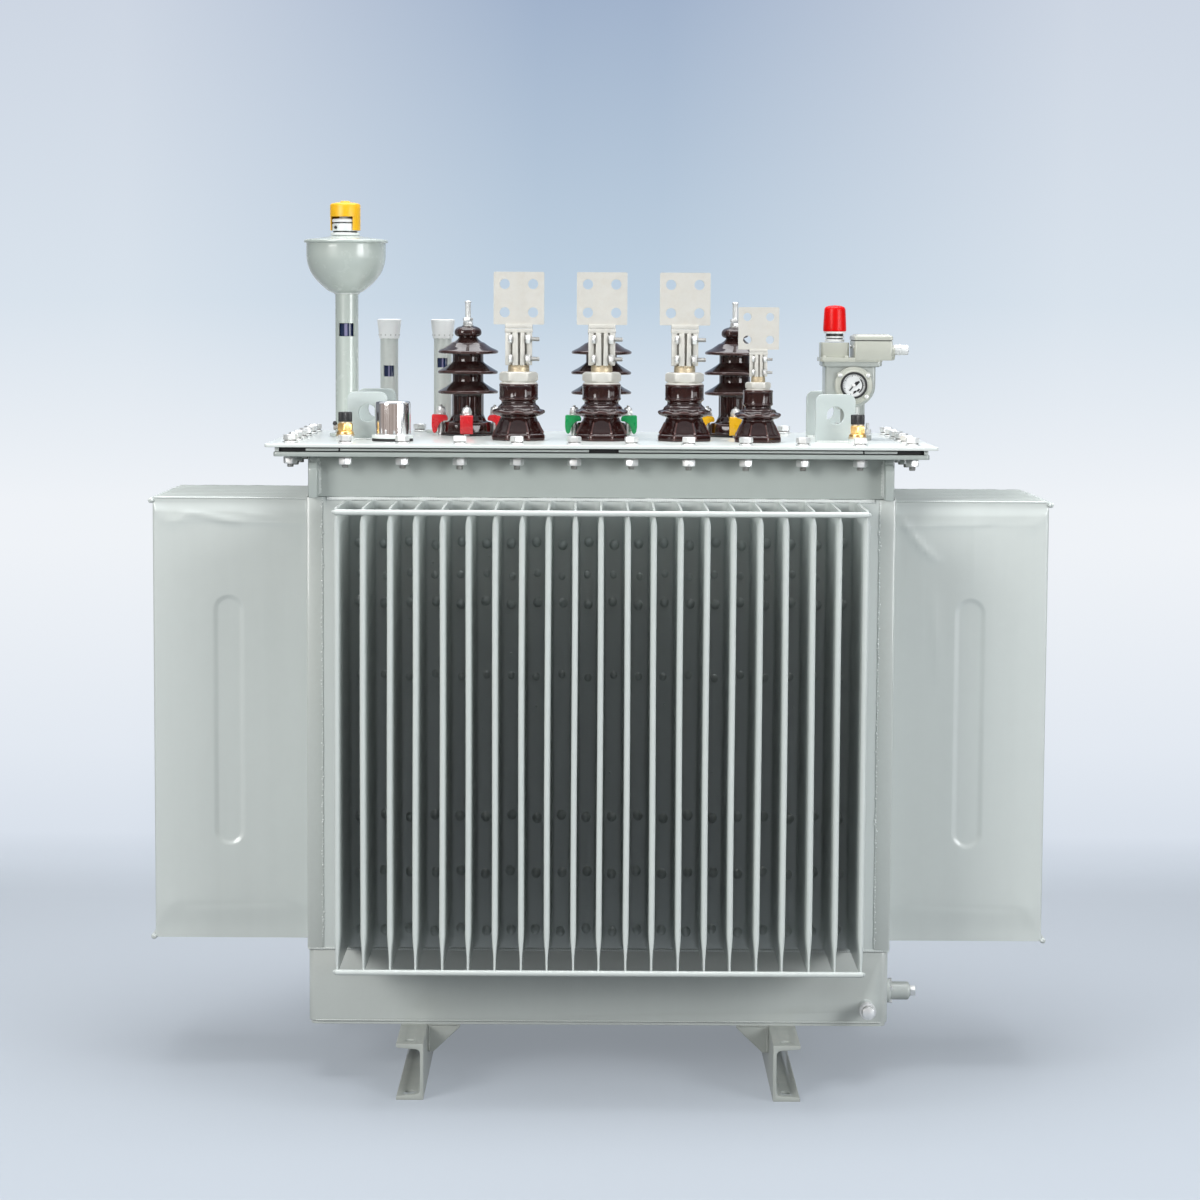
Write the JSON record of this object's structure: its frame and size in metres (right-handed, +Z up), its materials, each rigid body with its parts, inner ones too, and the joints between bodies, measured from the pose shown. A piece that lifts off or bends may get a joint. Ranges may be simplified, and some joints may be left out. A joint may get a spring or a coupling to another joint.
{
  "type": "oil-filled power transformer",
  "caption": "Three-phase oil-filled distribution transformer with corrugated fin tank, porcelain bushings, flag terminals, filler bowl and channel base",
  "frame": {"origin": "on the floor, under the middle of the tank, at the bottom centre of the bounding box", "axes": "+X to the right as seen by someone facing the low-voltage side, +Y away from them to the back, +Z up"},
  "size_m": [1.6204, 0.9694, 1.5761],
  "materials": {
    "tank_paint": "satin grey-green paint",
    "fin_paint": "satin grey-green paint",
    "cover_paint": "satin pale grey paint",
    "base_paint": "satin grey-green paint",
    "gasket_rubber": "matte black",
    "brown_porcelain": "glossy dark brown glaze",
    "tinned_copper": "dull tinned metal",
    "plated_steel": "zinc plated",
    "polished_chrome": "polished",
    "yellow_brass": "bright brass with a black cap",
    "red_enamel": "red enamel",
    "green_enamel": "green enamel",
    "yellow_enamel": "yellow enamel",
    "white_plastic": "white plastic",
    "yellow_plastic": "yellow plastic",
    "red_plastic": "red plastic",
    "relay_paint": "pale grey paint"
  },
  "bodies": {
    "root": {"base_channel_left": "base_paint", "base_channel_right": "base_paint", "tank_floor": "base_paint", "tank_lower_band": "tank_paint", "corner_post_front_left": "tank_paint", "corner_post_front_right": "tank_paint", "corner_post_back_left": "tank_paint", "corner_post_back_right": "tank_paint", "fin_wall_front": "fin_paint", "fin_wall_back": "fin_paint", "fin_wall_left": "fin_paint", "fin_wall_right": "fin_paint", "tank_upper_band": "tank_paint", "tank_flange": "tank_paint", "cover_gasket": "gasket_rubber", "cover_plate": "cover_paint", "lifting_lug_front_left": "cover_paint", "lifting_lug_front_right": "cover_paint", "lifting_lug_back_left": "cover_paint", "lifting_lug_back_right": "cover_paint", "hv_clamps_left": "red_enamel", "hv_clamps_middle": "green_enamel", "hv_clamps_right": "yellow_enamel", "hv_bushing_left": "brown_porcelain", "hv_bushing_middle": "brown_porcelain", "hv_bushing_right": "brown_porcelain", "hv_terminal_left": "plated_steel", "hv_terminal_middle": "plated_steel", "hv_terminal_right": "plated_steel", "lv_bushing_1": "brown_porcelain", "lv_bushing_2": "brown_porcelain", "lv_bushing_3": "brown_porcelain", "lv_bushing_neutral": "brown_porcelain", "lv_terminal_1": "tinned_copper", "lv_terminal_2": "tinned_copper", "lv_terminal_3": "tinned_copper", "lv_terminal_neutral": "tinned_copper", "filler_tube": "tank_paint", "relief_valve": "yellow_plastic", "gauge_tube_outer": "tank_paint", "gauge_tube_inner": "tank_paint", "gauge_cap_outer": "white_plastic", "gauge_cap_inner": "white_plastic", "thermometer_pot": "polished_chrome", "vent_plug_left": "yellow_brass", "vent_plug_right": "yellow_brass", "relay_body": "relay_paint", "relay_terminal_box": "relay_paint", "relay_cap": "red_plastic", "drain_valve": "tank_paint"}
  },
  "joints": []
}
